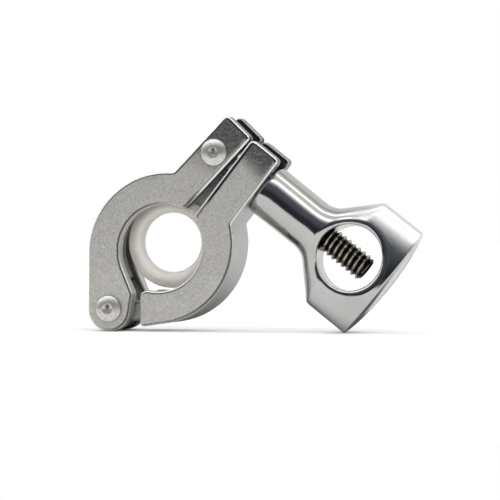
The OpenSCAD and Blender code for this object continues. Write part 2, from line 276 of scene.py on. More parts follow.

# Half rings
# Two castings in stainless steel, tumbled to a satin skin, with the edges of both faces rubbed round.
# Each is copied from its solid, so that grooves, slots and hinge stay where they work.
# The ears' tips are painted darker as a reflection, the faces that the halves shelter and the recesses are
# painted dark as shade, and the rubbed edges carry a painted highlight.
SKIN_GRID = 0.00024
SKIN_PASSES = 34
SKIN_RUB = 0.5
SKIN_WELD = 0.000001
FACE_Y = 0.00825
FACE_PITS = (
    ((-0.0394, -FACE_Y, 0.0219), 0.0005),
    ((-0.0402, -FACE_Y, 0.0181), 0.00045),
    ((-0.0401, -FACE_Y, 0.0115), 0.0003),
)
PIT_SPACING = 0.0048
EAR_START = 0.031
EAR_END = 0.037
EAR_GAIN = 1.4
EAR_SHADE = (0.031, 0.034)
LEFT_SWELL = 0.0003
RIGHT_SWELL = 0.0005
LEFT_FADE = (0.0420, 0.0560)
RIGHT_FADE = (0.0510, 0.0565)
FLAT_FACE = (0.985, 0.9995)
EDGE_FACE = (0.10, 0.30)
RIM_FACE = (0.90, 0.95)
SHOULDER_FACE = (0.84, 0.93)
EDGE_SHADE_FACE = (0.70, 0.85)
FRONT_BAND = (0.0058, 0.0066)
FRONT_DARK = 0.25
GROOVE_DARK = 0.62
FORK_DARK = 0.36
SLOT_DEPTH = (0.0041, 0.0046)
GROOVE_REACH = (0.0145, 0.0155)
FORK_REACH = (0.013, 0.016)
TIP_SLOT = (0.045, 0.050)
LIT_REACH = (0.036, 0.042)
CAST_CLOUDS = 0.009
CAST_SPECKS = 0.0011
CAST_MOTTLE = 0.0007
CAST_GRAIN = 0.00042
CAST_RELIEF = 0.00008
CAST_PALE = (0.86, 0.84, 0.785, 1)
CAST_CLOUD = (0.81, 0.79, 0.74, 1)
CAST_COOL = (0.68, 0.685, 0.69, 1)
CAST_WORN = (0.48, 0.47, 0.45, 1)
CAST_SANDY = (0.34, 0.33, 0.31, 1)
CAST_TIP = (0.10, 0.10, 0.105, 1)
CAST_RUBBED_HIGHLIGHT = (0.95, 0.945, 0.93, 1)
CAST_EDGE_SHADE = (0.10, 0.097, 0.094, 1)
CAST_PAINTED_SHADE = (0.07, 0.063, 0.055, 1)
hinge = middle("hinge_rivet")
pivot = middle("bolt_rivet")
bore_centre = Vector((-0.02377, 0, 0.02173))
travel = next(joint for joint in frame["joints"] if joint["name"] == "nut_travel")
bolt_way = Vector(travel["axis"]).normalized()


def surface(name, build):
    """A material whose Principled sockets are the values that build(graph) returns."""
    return coated(name, lambda graph: graph.add("ShaderNodeBsdfPrincipled", values=build(graph), out="BSDF"))


def noise(graph, place, size, detail, rough=0.5):
    """Soft random levels around 0.5, with features of a size in metres."""
    values = {"Vector": place, "Scale": 1 / size, "Detail": detail, "Roughness": rough}
    return graph.add("ShaderNodeTexNoise", values=values, out="Fac")


def bumps(graph, height, strength, distance):
    """Small relief from a height."""
    values = {"Height": height, "Strength": strength, "Distance": distance}
    return graph.add("ShaderNodeBump", values=values, out="Normal")


def combined(graph, operation, first, second):
    """A vector from two vectors."""
    return graph.add("ShaderNodeVectorMath", {"operation": operation}, {0: first, 1: second})


def measured(graph, operation, first, second=(0, 0, 0)):
    """A number from one or two vectors, such as a length, a distance or a dot product."""
    return graph.add("ShaderNodeVectorMath", {"operation": operation}, {0: first, 1: second}, out="Value")


def off_axis(graph, place, axis):
    """Distance from an axis that runs through the clamp from front to back."""
    arm = combined(graph, "SUBTRACT", place, axis)
    return measured(graph, "LENGTH", combined(graph, "MULTIPLY", arm, (1, 0, 1)))


def cleaned(mesh, merge, outward):
    """Merges points that lie within merge of each other and, where asked, turns the faces outwards."""
    shape = bmesh.new()
    shape.from_mesh(mesh)
    if merge:
        bmesh.ops.remove_doubles(shape, verts=shape.verts, dist=merge)
    if outward:
        bmesh.ops.recalc_face_normals(shape, faces=shape.faces)
    shape.to_mesh(mesh)
    shape.free()
    return mesh


def finished(piece, body, slot_name, *nodes):
    """Makes a piece and its modifiers one plain mesh, on its body and in place of its CAD nodes."""
    bpy.context.view_layer.update()
    evaluated = piece.evaluated_get(bpy.context.evaluated_depsgraph_get())
    plain = bpy.data.meshes.new_from_object(evaluated)
    piece.modifiers.clear()
    piece.data = plain
    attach(piece, body)
    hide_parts(*nodes)


def casting(node, name):
    """A copy of a casting's solid with a fine even skin, whose edges are rubbed round."""
    solid = frame["nodes"][node].data
    points = [vert.co[:] for vert in solid.vertices]
    mesh = bpy.data.meshes.new(name)
    mesh.from_pydata(points, [], [face.vertices[:] for face in solid.polygons])
    piece = placed(name, cleaned(mesh, SKIN_WELD, False))
    skin = piece.modifiers.new("even_skin", "REMESH")
    skin.mode = "VOXEL"
    skin.voxel_size = SKIN_GRID
    skin.use_smooth_shade = True
    rub = piece.modifiers.new("rubbed_edges", "SMOOTH")
    rub.factor = SKIN_RUB
    rub.iterations = SKIN_PASSES
    return piece


def keep_facing(mesh):
    """Stores which way each point of the skin faces, for the steel to read."""
    facing = mesh.attributes.new("facing", "FLOAT_VECTOR", "POINT")
    facing.data.foreach_set("vector", [part for normal in mesh.vertex_normals for part in normal.vector])


def fill_out_ear(mesh, inward, swell):
    """Sets the ear's face at the gap forward, as the casting is a little fuller there than its solid."""
    facings = [normal.vector.dot(inward) for normal in mesh.vertex_normals]
    places = []
    for vert, toward in zip(mesh.vertices, facings):
        share = min(1, max(0, ((vert.co - hinge).length - EAR_START) / (EAR_END - EAR_START)))
        places.extend(vert.co + inward * (swell * share * min(1, max(0, toward * EAR_GAIN))))
    mesh.vertices.foreach_set("co", places)
    mesh.update()


def cast_steel(graph, fade, inward):
    """The castings' satin steel, by where a point lies and which way it faces, with painted light and shade.
    """
    place = graph.add("ShaderNodeTexCoord", out="Object")
    facing = graph.add("ShaderNodeAttribute", {"attribute_name": "facing"}, out="Vector")
    reach = measured(graph, "DISTANCE", place, hinge)
    depth = graph.part(place, "Y").math("ABSOLUTE")
    square = graph.part(facing, "Y").math("ABSOLUTE")
    rounded = 1 - square.step(*FLAT_FACE)
    edge = square.step(*EDGE_FACE)

    # Edges: a painted highlight where they face up or lie on the ears, with a fine painted dark line beside
    # the flat face, and elsewhere painted shade where they face right
    lit = graph.part(facing, "Z").step(0.0, 0.35).either(reach.step(*LIT_REACH))
    rubbed = edge * rounded * lit
    rim = rounded * square.step(*RIM_FACE) * lit
    shoulder = edge * (1 - square.step(*SHOULDER_FACE)) * lit
    edge_shade = rounded * square.step(*EDGE_SHADE_FACE) * (1 - lit) * graph.part(facing, "X").step(-0.2, 0.2)

    # Painted shade: the ears' faces at the gap, the groove, the hinge's fork and the slots at the tips are
    # darkened where shade falls
    front_band = FRONT_DARK + depth.step(*FRONT_BAND) * (1 - FRONT_DARK)
    at_gap = measured(graph, "DOT_PRODUCT", facing, inward).step(0.3, 0.7) * (1 - square.step(0.15, 0.4))
    gap_shade = at_gap * reach.step(*EAR_SHADE) * front_band
    groove = (1 - off_axis(graph, place, bore_centre).step(*GROOVE_REACH)) * GROOVE_DARK
    fork = (1 - reach.step(*FORK_REACH)) * FORK_DARK
    deep = (1 - depth.step(*SLOT_DEPTH)) * groove.either(fork).either(reach.step(*TIP_SLOT))
    # Painted reflection: the ears' tips are painted darker, with speckles, for the dark wall that they
    # mirror.
    tip = reach.step(*fade) * (1 - rubbed)

    # Skin: clouds, specks and grain, a cooler grey on the walls that face sideways, then the painted
    # reflection, highlight and shade worked out above
    cloud = noise(graph, place, CAST_CLOUDS, 3)
    grain = noise(graph, place, CAST_GRAIN, 3, 0.8)
    speck = noise(graph, place, CAST_SPECKS, 3, 0.6)
    mottle = noise(graph, place, CAST_MOTTLE, 3, 0.7).step(0.35, 0.6)
    colour = graph.blend(cloud.step(0.3, 0.7), CAST_PALE, CAST_CLOUD)
    colour = graph.blend((1 - square.step(0.2, 0.5)) * 0.6, colour, CAST_COOL)
    colour = graph.blend(speck.step(0.62, 0.72) * 0.35, colour, CAST_WORN)
    colour = graph.blend((1 - grain.step(0.32, 0.62)) * 0.5, colour, CAST_SANDY)
    # The ears' tips are painted dark as a reflection.
    colour = graph.blend(tip * (0.50 + mottle * 0.3 + grain.step(0.35, 0.65) * 0.1), colour, CAST_TIP)
    # The rubbed edges that face up or lie on the ears are painted bright as a highlight.
    colour = graph.blend(rubbed, colour, CAST_RUBBED_HIGHLIGHT)
    # A painted dark line beside the flat face on lit edges, and painted shade on edges that face right.
    colour = graph.blend(edge_shade * 0.92 + rim * 0.75, colour, CAST_EDGE_SHADE)
    # The faces at the gap and the recesses are painted dark as shade.
    colour = graph.blend(gap_shade.either(deep) * 0.94, colour, CAST_PAINTED_SHADE)

    # Relief: the grain, scattered casting pits and the three larger ones on the left face
    cells = {"Vector": place, "Scale": 1 / PIT_SPACING}
    pit = 1 - graph.add("ShaderNodeTexVoronoi", {"feature": "F1"}, cells, out="Distance").step(0.04, 0.09)
    for mark, mark_r in FACE_PITS:
        pit = pit.either(1 - measured(graph, "DISTANCE", place, mark).step(mark_r * 0.5, mark_r))
    height = (grain * 0.5 + speck * 0.4) * (1 - rubbed * 0.85) - pit * 1.2
    return {
        "Base Color": colour,
        "Metallic": 0.80 + rubbed * 0.20 - shoulder * 0.6,
        "Roughness": 0.44 + grain * 0.12 - tip * 0.16 - rubbed * 0.38 + gap_shade * 0.4,
        "Normal": bumps(graph, height, 0.55, CAST_RELIEF),
    }


for node_name, piece_name, body_name, fade, inward, swell in (
    ("left_half", "left_casting", "fixed_half", LEFT_FADE, bolt_way, LEFT_SWELL),
    ("right_half", "right_casting", "moving_half", RIGHT_FADE, -bolt_way, RIGHT_SWELL),
):
    half = casting(node_name, piece_name)
    half.data.materials.append(surface("satin_" + piece_name, lambda graph: cast_steel(graph, fade, inward)))
    finished(half, body_name, "cast_steel", node_name)
    keep_facing(half.data)
    fill_out_ear(half.data, inward, swell)

# Rivets
# Two stainless rivets, pressed into low domes at both ends, with a punched dimple in each dome.
# Wear has polished them; the dimples hold dirt and painted shade, and the foot of each head is painted dark
# as shade.
RIVET_R = 0.0035
RIVET_SHANK_R = 0.0023
RIVET_WALL = 0.0005
RIVET_HEAD = 0.00153
RIVET_EDGE = 0.0001
RIVET_FOOT = (0.00325, 0.00345)
RIVET_STEPS = 72
RIVET_SHARP = radians(32)
RIVET_WEAR = 0.0006
RIVET_RELIEF = 0.00005
DOME_STEPS = 24
DOME_POWER = 2.2
DIMPLE_R = 0.0015
DIMPLE_DEPTH = 0.00045
DIMPLE_POWER = 1.5
DIMPLE_SHADE = Vector((0, 0, 0.0006))
DIMPLE_DIRT_AND_SHADE = (0.0007, 0.0015)
DIRT_AND_SHADE_SPREAD = 0.0010
TURNED_WELD = 0.0000001
HINGE_SHIFT = Vector((0, 0, 0.0002))
RIVET_BRIGHT = (0.84, 0.82, 0.78, 1)
RIVET_WORN = (0.66, 0.64, 0.60, 1)
RIVET_SHADED = (0.10, 0.09, 0.08, 1)
RIVET_DIRT_AND_SHADE = (0.05, 0.047, 0.045, 1)
hinge_head = hinge + HINGE_SHIFT


def lathe(name, profile, around, steps=96):
    """A closed shape turned about an axis: around(radius, angle, height) places each point of the profile."""
    rings = [[around(radius, 2 * pi * k / steps, height) for radius, height in profile] for k in range(steps)]
    count = len(profile)
    faces = []
    for k in range(steps):
        here, there = k * count, (k + 1) % steps * count
        for i in range(count - 1):
            faces.append((here + i, here + i + 1, there + i + 1, there + i))
    mesh = bpy.data.meshes.new(name)
    mesh.from_pydata([point for ring in rings for point in ring], [], faces)
    return cleaned(mesh, TURNED_WELD, True)


def about(centre):
    """Places the points of a shape whose axis runs through a centre from front to back."""
    return lambda radius, angle, side: centre + Vector((radius * cos(angle), side, radius * sin(angle)))


def smooth(mesh, sharp):
    """Smooth shading, broken only at edges sharper than an angle."""
    for polygon in mesh.polygons:
        polygon.use_smooth = True
    mesh.set_sharp_from_angle(angle=sharp)


def dome_height(radius):
    """Height of the head above the face at a radius."""
    dome = RIVET_WALL + (RIVET_HEAD - RIVET_WALL) * (1 - (radius / RIVET_R) ** DOME_POWER)
    dish = DIMPLE_DEPTH * max(0, 1 - (radius / DIMPLE_R) ** 2) ** DIMPLE_POWER
    return dome - dish


head_radii = [RIVET_R * (1 - i / DOME_STEPS) for i in range(DOME_STEPS + 1)]
profile = [
    (RIVET_SHANK_R, 0), (RIVET_SHANK_R, FACE_Y),
    (RIVET_R - RIVET_EDGE, FACE_Y), (RIVET_R, FACE_Y + RIVET_EDGE),
]
profile += [(radius, FACE_Y + dome_height(radius)) for radius in head_radii]
mirrored = [(radius, -height) for radius, height in reversed(profile)]
rivet_mesh = lathe("rivets", mirrored + profile[1:], about(Vector((0, 0, 0))), RIVET_STEPS)
smooth(rivet_mesh, RIVET_SHARP)
rivets = placed("rivets", rivet_mesh)


def rivet_steel(graph):
    """Worn bright steel, with dirt and painted shade in the dimple and painted shade round the foot of the
    head.
    """
    place = graph.add("ShaderNodeTexCoord", out="Object")
    wear = noise(graph, place, RIVET_WEAR, 4, 0.6)
    reaches = [off_axis(graph, place, axis) for axis in (hinge_head, pivot)]
    shades = [off_axis(graph, place, axis + DIMPLE_SHADE) for axis in (hinge_head, pivot)]
    # The dimple is painted dark for dirt and for shade, set a little high onto its upper wall, which faces
    # down.
    centre = 1 - (shades[0].math("MINIMUM", shades[1]) + wear * DIRT_AND_SHADE_SPREAD).step(*DIMPLE_DIRT_AND_SHADE)
    # The foot of the head is painted dark as shade.
    foot = reaches[0].math("MINIMUM", reaches[1]).step(*RIVET_FOOT)
    colour = graph.blend(wear.step(0.4, 0.65), RIVET_BRIGHT, RIVET_WORN)
    colour = graph.blend(foot * 0.7, colour, RIVET_SHADED)
    colour = graph.blend(centre * 0.93, colour, RIVET_DIRT_AND_SHADE)
    return {
        "Base Color": colour,
        "Metallic": 0.9,
        "Roughness": 0.30 + wear * 0.12,
        "Normal": bumps(graph, wear, 0.3, RIVET_RELIEF),
    }


def node_tree(name, inputs):
    """A tree of Geometry Nodes with named inputs, its graph, and the wires that its inputs give."""
    tree = bpy.data.node_groups.new(name, "GeometryNodeTree")
    for socket_name, kind in {"Geometry": "Geometry", **inputs, "Material": "Material"}.items():
        tree.interface.new_socket(socket_name, in_out="INPUT", socket_type="NodeSocket" + kind)
    tree.interface.new_socket("Geometry", in_out="OUTPUT", socket_type="NodeSocketGeometry")
    graph = Graph(tree)
    given = tree.nodes.new("NodeGroupInput")
    return tree, graph, {socket.name: Wire(graph, socket) for socket in given.outputs if socket.name}


def end_tree(graph, geometry, material):
    """Ends a tree in real geometry with its material."""
    real = graph.add("GeometryNodeRealizeInstances", values={"Geometry": geometry})
    painted = graph.add("GeometryNodeSetMaterial", values={"Geometry": real, "Material": material})
    graph.add("NodeGroupOutput", values={0: painted})


def use_tree(piece, tree, inputs):
    """Puts a node tree on a piece, with its named inputs set."""
    modifier = piece.modifiers.new(tree.name, "NODES")
    modifier.node_group = tree
    for item in tree.interface.items_tree:
        if item.in_out == "INPUT" and item.name in inputs:
            modifier[item.identifier] = inputs[item.name]


rivet_tree, setting, wires = node_tree("rivets_in_place", {"Hinge": "Vector", "Pivot": "Vector"})
holes = {"Count": 2, "Start Location": wires["Hinge"], "Offset": wires["Pivot"]}
pins = setting.add("GeometryNodeMeshLine", {"mode": "END_POINTS"}, holes)
copies = setting.add("GeometryNodeInstanceOnPoints", values={"Points": pins, "Instance": wires["Geometry"]})
end_tree(setting, copies, wires["Material"])
rivet_places = {"Hinge": hinge_head[:], "Pivot": pivot[:]}
use_tree(rivets, rivet_tree, {**rivet_places, "Material": surface("bright_rivet_steel", rivet_steel)})
finished(rivets, "fixed_half", "rivet_steel", "hinge_rivet", "bolt_rivet")

# Swing bolt
# A stainless eye bolt: a plain eye turns on the bolt rivet, and a plain neck leads to the rolled thread.
# The thread follows its helix and runs out at the chamfered end. Its roots are painted dark as shade, and its
# crests are left bright.
BOLT_R = 0.0036
BOLT_EYE_R = 0.0043
BOLT_EYE_W = 0.0072
BOLT_EYE_EDGE = 0.0003
BOLT_LEN = 0.0488
BOLT_CHAMFER = 0.0008
BOLT_HOLE_R = 0.00238
NECK_R = 0.0032
NECK_START = 0.00268
THREAD_START = 0.0120
THREAD_PITCH = 0.00158
THREAD_DEPTH = 0.00088
THREAD_CREST = (0.0031, 0.00348)
THREAD_WELD = 0.000001
CREST_FLAT = 1.08
TURN_STEPS = 64
FLANK_POINTS = 5
COUNT_GUARD = 0.001
BOLT_SHARP = radians(40)
BOLT_STAINS = 0.0012
BOLT_GRAIN = 0.0002
BOLT_RELIEF = 0.00004
BOLT_BRIGHT = (0.86, 0.82, 0.75, 1)
BOLT_STAIN = (0.62, 0.56, 0.49, 1)
BOLT_ROOT_SHADE = (0.07, 0.06, 0.05, 1)
toward_viewer = Vector((0, -1, 0))
bolt_up = toward_viewer.cross(bolt_way).normalized()


def on_bolt(radius, angle, reach):
    """A point round the bolt, at a distance from the rivet's axis."""
    return pivot + bolt_way * reach + (bolt_up * cos(angle) + toward_viewer * sin(angle)) * radius


eye_half = BOLT_EYE_W / 2
eye_corner_r = BOLT_EYE_R - BOLT_EYE_EDGE
eye_profile = [
    (BOLT_HOLE_R, -eye_half), (eye_corner_r, -eye_half), (BOLT_EYE_R, BOLT_EYE_EDGE - eye_half),
    (BOLT_EYE_R, eye_half - BOLT_EYE_EDGE), (eye_corner_r, eye_half), (BOLT_HOLE_R, eye_half),
    (BOLT_HOLE_R, -eye_half),
]
root_r = BOLT_R - THREAD_DEPTH
root_end = BOLT_LEN - BOLT_CHAMFER / 2
neck_profile = [
    (0, NECK_START), (NECK_R, NECK_START), (NECK_R, THREAD_START - BOLT_CHAMFER),
    (root_r, THREAD_START), (root_r, root_end), (0, root_end),
]
eye_mesh = lathe("eye", eye_profile, about(pivot))
neck_mesh = lathe("neck", neck_profile, on_bolt)


def bolt_steel(graph):
    """Stained steel, bright on the crests and the plain neck, with the roots painted dark as shade."""
    place = graph.add("ShaderNodeTexCoord", out="Object")
    stain = noise(graph, place, BOLT_STAINS, 4, 0.6)
    arm = combined(graph, "SUBTRACT", place, pivot)
    spread = measured(graph, "LENGTH", combined(graph, "CROSS_PRODUCT", arm, bolt_way))
    reach = measured(graph, "DOT_PRODUCT", arm, bolt_way)
    # The thread's roots are painted dark as shade; the crests and the plain neck are left unshaded.
    plain = 1 - reach.step(THREAD_START - BOLT_CHAMFER, THREAD_START)
    unshaded = spread.step(*THREAD_CREST).either(plain)
    stained = graph.blend(stain.step(0.35, 0.65), BOLT_BRIGHT, BOLT_STAIN)
    return {
        "Base Color": graph.blend(unshaded, BOLT_ROOT_SHADE, stained),
        "Metallic": 1.0,
        "Roughness": 0.20 + stain * 0.08,
        "Normal": bumps(graph, noise(graph, place, BOLT_GRAIN, 3), 0.10, BOLT_RELIEF),
    }


thread_sizes = {
    "Start": THREAD_START - BOLT_CHAMFER / 2, "End": BOLT_LEN, "Crest Radius": BOLT_R, "Depth": THREAD_DEPTH,
    "Pitch": THREAD_PITCH, "Chamfer": BOLT_CHAMFER,
}
thread_tree, cutting, wires = node_tree("screw_thread", dict.fromkeys(thread_sizes, "Float"))
turns = (wires["End"] - wires["Start"]) / wires["Pitch"] + 1
rows = {"Vertices X": (turns * TURN_STEPS).math("ROUND"), "Vertices Y": FLANK_POINTS}
grid = cutting.add("GeometryNodeMeshGrid", values=rows)
index = cutting.add("GeometryNodeInputIndex")
ring = (index / FLANK_POINTS + COUNT_GUARD).math("FLOOR")
share = (index - ring * FLANK_POINTS) / (FLANK_POINTS - 1)
angle = ring * (2 * pi / TURN_STEPS)
climb = (ring / TURN_STEPS + share - 1) * wires["Pitch"] + wires["Start"]
reach = climb.math("MAXIMUM", wires["Start"]).math("MINIMUM", wires["End"])
hump = ((1 - (share * 2 - 1).math("ABSOLUTE")) * CREST_FLAT).math("MINIMUM", 1.0)
root = wires["Crest Radius"] - wires["Depth"]
ridge = root + hump * wires["Depth"]
taper_end = wires["Crest Radius"] - wires["Chamfer"] + wires["End"] - reach
taper_start = root + reach - wires["Start"]
radius = ridge.math("MINIMUM", taper_end).math("MINIMUM", taper_start)
round_axis = {"X": radius * angle.math("COSINE"), "Y": radius * angle.math("SINE"), "Z": reach}
spot = cutting.add("ShaderNodeCombineXYZ", values=round_axis)
wound = cutting.add("GeometryNodeSetPosition", values={"Geometry": grid, "Position": spot})
merged = cutting.add("GeometryNodeMergeByDistance", values={"Geometry": wound, "Distance": THREAD_WELD})
end_tree(cutting, merged, wires["Material"])
thread_steel = surface("rolled_thread_steel", bolt_steel)
thread = placed("thread", bpy.data.meshes.new("thread"))
use_tree(thread, thread_tree, {**thread_sizes, "Material": thread_steel})
bpy.context.view_layer.update()
thread_mesh = bpy.data.meshes.new_from_object(thread.evaluated_get(bpy.context.evaluated_depsgraph_get()))
bolt_frame = Matrix((bolt_up, toward_viewer, bolt_way)).transposed().to_4x4()
bolt_frame.translation = pivot
thread_mesh.transform(bolt_frame)
bpy.data.objects.remove(thread)


def merged_mesh(name, meshes, material):
    """One mesh from several, with the same material on all."""
    shape = bmesh.new()
    for mesh in meshes:
        shape.from_mesh(mesh)
    for face in shape.faces:
        face.material_index = 0
    result = bpy.data.meshes.new(name)
    shape.to_mesh(result)
    shape.free()
    result.materials.append(material)
    return result


bolt_mesh = merged_mesh("swing_bolt_threaded", [eye_mesh, neck_mesh, thread_mesh], thread_steel)
smooth(bolt_mesh, BOLT_SHARP)
bolt = placed("swing_bolt_threaded", bolt_mesh)
finished(bolt, "bolt", "bolt_steel", "swing_bolt")

# Wing nut
# One stainless casting, polished: a long round barrel swells into two lens-shaped wings round a bored window.
# The window's edge is rounded all round, and the barrel is bored for the bolt.
# The barrel and the window's rim keep a mirror polish, the wings are rubbed duller, and the upper wing is
# painted pale as a highlight.
BARREL_R = 0.0070
BARREL_TAPER = 0.0001
BARREL_LEN = 0.0146
FLARE_R = 0.0065
SHOULDER_ANGLE = radians(45)
SHOULDER_REACH = 0.0266
SHOULDER_SOFT = 0.0006
SHOULDER_PAST = 0.001
WING_R = 0.01639
WING_T = 0.0124
NUT_LEN = 0.0393
NUT_EDGE = 0.0006
END_BULGE = 0.0012
END_INSET = 0.5
LENS_POWER = 1.2
NUT_TURN = radians(4)
NUT_SHARP = radians(24)
SECTION_POINTS = 160
EDGE_TURNS = [radians(degrees) for degrees in (0, 22.5, 45, 67.5, 90)]
BARREL_STEPS = 6
FLARE_STEPS = 12
WING_STEPS = 16
END_STEPS = 8
WINDOW_R = 0.0085
WINDOW_REACH = 0.0288
WINDOW_ROUND = 0.0019
WINDOW_DROP = 0.0010
WINDOW_STEPS = 160
ROUND_STEPS = 10
ROUND_END = radians(84)
LIP_OVERRUN = 0.0006
CUT_HEIGHT = 1.3 * BARREL_R
THREAD_GAP = 0.00008
MOUTH_FLARE = 0.0019
MOUTH_DEPTH = 0.0009
CUT_CLEAR = 0.001
RUBBED_FROM = (0.0068, 0.0110)
POLISHED_RIM = (WINDOW_R + 0.0016, WINDOW_R + 0.0026)
WORKED_FROM = (0.0070, 0.0120)
STROKES_FROM = (0.0060, 0.0100)
HIGHLIGHT_FROM = (0.0115, 0.0160)
STROKE_WIDTH = 0.00022
STROKE_STRETCH = 0.12
NUT_CLOUDS = 0.004
NUT_GRAIN = 0.00016
NUT_RELIEF = 0.00004
NUT_STEEL = (0.62, 0.61, 0.59, 1)
NUT_CLOUD = (0.57, 0.565, 0.55, 1)
NUT_WORKED = (0.68, 0.675, 0.66, 1)
NUT_HIGHLIGHT = (0.95, 0.945, 0.94, 1)
nut_solid = frame["nodes"]["wing_nut"].data
nut_start = min((vert.co - pivot).dot(bolt_way) for vert in nut_solid.vertices)
wing_way = bolt_up * cos(NUT_TURN) - toward_viewer * sin(NUT_TURN)
thick_way = toward_viewer * cos(NUT_TURN) + bolt_up * sin(NUT_TURN)
waist_r = BARREL_R - BARREL_TAPER
flare_end = BARREL_LEN + FLARE_R * sin(SHOULDER_ANGLE)
flare_top_r = waist_r + FLARE_R * (1 - cos(SHOULDER_ANGLE))
body_end = NUT_LEN - NUT_EDGE


def in_nut(reach, wide, thick):
    """A point of the nut, by its distance from the nut's face and its offsets along and through the wings."""
    return pivot + bolt_way * (nut_start + reach) + wing_way * wide + thick_way * thick


def eased(share):
    """Rises smoothly from 0 to 1."""
    share = min(1, max(0, share))
    return share * share * (3 - 2 * share)


def rounded_start(reach):
    """Half of the barrel's width at the rounded edge of its face."""
    return BARREL_R - NUT_EDGE + sqrt(NUT_EDGE ** 2 - (NUT_EDGE - reach) ** 2)


def half_width(reach):
    """Half of the nut's width over its wings."""
    if reach < NUT_EDGE:
        return rounded_start(reach)
    if reach < BARREL_LEN:
        return BARREL_R - BARREL_TAPER * reach / BARREL_LEN
    if reach < flare_end:
        return waist_r + FLARE_R - sqrt(FLARE_R ** 2 - (reach - BARREL_LEN) ** 2)
    rise = flare_top_r + (WING_R - flare_top_r) * (reach - flare_end) / (SHOULDER_REACH - flare_end)
    over = (rise - WING_R) / SHOULDER_SOFT
    if over > 1:
        return WING_R
    return rise if over < -1 else rise - SHOULDER_SOFT * (over + 1) ** 2 / 4


def half_thickness(reach):
    """Half of the nut's thickness at its middle."""
    if reach < NUT_EDGE:
        return rounded_start(reach)
    past = max(0, reach - BARREL_LEN) / (NUT_LEN - BARREL_LEN)
    return BARREL_R - (BARREL_R - WING_T / 2) * past


def lens_power(reach):
    """How sharp the section's edges are: 1 is round."""
    if reach < flare_end:
        share = (reach - BARREL_LEN) / (flare_end - BARREL_LEN) / 2
    else:
        share = 0.5 + (reach - flare_end) / (SHOULDER_REACH - flare_end) / 2
    return 1 + (LENS_POWER - 1) * eased(share)


def nut_ring(reach, inset=0.0, bulge=0.0):
    """One section of the nut, drawn in by inset, and bulged at its middle by a share of the end's bulge."""
    wide = half_width(reach) - inset
    thick = half_thickness(reach) - inset
    ring = []
    for k in range(SECTION_POINTS):
        turn = 2 * pi * k / SECTION_POINTS
        height = sin(turn)
        bow = bulge * END_BULGE * height * height
        lens = abs(height) ** lens_power(reach)
        ring.append(in_nut(reach + bow, wide * cos(turn), thick * (lens if height >= 0 else -lens)))
    return ring


def band_faces(count, rows):
    """The faces between rings of points, each ring joined to the next."""
    faces = []
    for k in range(rows - 1):
        for i in range(count):
            j = (i + 1) % count
            faces.append((k * count + i, k * count + j, (k + 1) * count + j, (k + 1) * count + i))
    return faces


wing_end = SHOULDER_REACH + SHOULDER_PAST
reaches = [NUT_EDGE * (1 - cos(turn)) for turn in EDGE_TURNS]
reaches += [NUT_EDGE + (BARREL_LEN - NUT_EDGE) * k / BARREL_STEPS for k in range(1, BARREL_STEPS + 1)]
reaches += [BARREL_LEN + FLARE_R * sin(SHOULDER_ANGLE * k / FLARE_STEPS) for k in range(1, FLARE_STEPS + 1)]
reaches += [flare_end + (wing_end - flare_end) * k / WING_STEPS for k in range(1, WING_STEPS + 1)]
rings = [nut_ring(reach) for reach in reaches]
for k in range(1, END_STEPS + 1):
    rings.append(nut_ring(wing_end + (body_end - wing_end) * k / END_STEPS, 0, eased(k / END_STEPS) ** 2))
for turn in EDGE_TURNS[1:]:
    rings.append(nut_ring(body_end + NUT_EDGE * sin(turn), NUT_EDGE * (1 - cos(turn)) * END_INSET, 1))
count = SECTION_POINTS
nut_faces = [tuple(range(count - 1, -1, -1))] + band_faces(count, len(rings))
last = (len(rings) - 1) * count
for i in range(count // 2):
    near, past = last + i, last + i + 1
    far, before = last + (count - i - 1) % count, last + (count - i) % count
    if i == 0:
        nut_faces.append((near, past, far))
    elif i == count // 2 - 1:
        nut_faces.append((near, past, before))
    else:
        nut_faces.append((near, past, far, before))
nut_mesh = bpy.data.meshes.new("wing_nut_casting")
nut_mesh.from_pydata([point for ring in rings for point in ring], [], nut_faces)
nut = placed("wing_nut_casting", nut_mesh)


def closed_rings(name, rings):
    """A closed mesh from rings of points, with a flat cap at each end."""
    count = len(rings[0])
    caps = [tuple(range(count - 1, -1, -1)), tuple(range((len(rings) - 1) * count, len(rings) * count))]
    mesh = bpy.data.meshes.new(name)
    mesh.from_pydata([point for ring in rings for point in ring], [], caps + band_faces(count, len(rings)))
    return cleaned(mesh, 0, True)


def cutter(name, rings):
    """A hidden shape that is cut out of the nut."""
    tool = placed(name, closed_rings(name, rings))
    cut = nut.modifiers.new(name, "BOOLEAN")
    cut.operation = "DIFFERENCE"
    cut.solver = "EXACT"
    cut.object = tool
    return tool


def skin_height(reach, wide):
    """Height of the nut's skin over its middle plane."""
    share = min(1, abs(wide) / half_width(reach))
    return half_thickness(reach) * (1 - share * share) ** (lens_power(reach) / 2)


def window_ring(widen, height_at):
    """A ring round the window, widened, at the height that height_at(reach, wide) gives."""
    ring = []
    for k in range(WINDOW_STEPS):
        turn = 2 * pi * k / WINDOW_STEPS
        reach = WINDOW_REACH + (WINDOW_R + widen) * cos(turn)
        wide = (WINDOW_R + widen) * sin(turn)
        ring.append(in_nut(reach, wide, height_at(reach, wide)))
    return ring


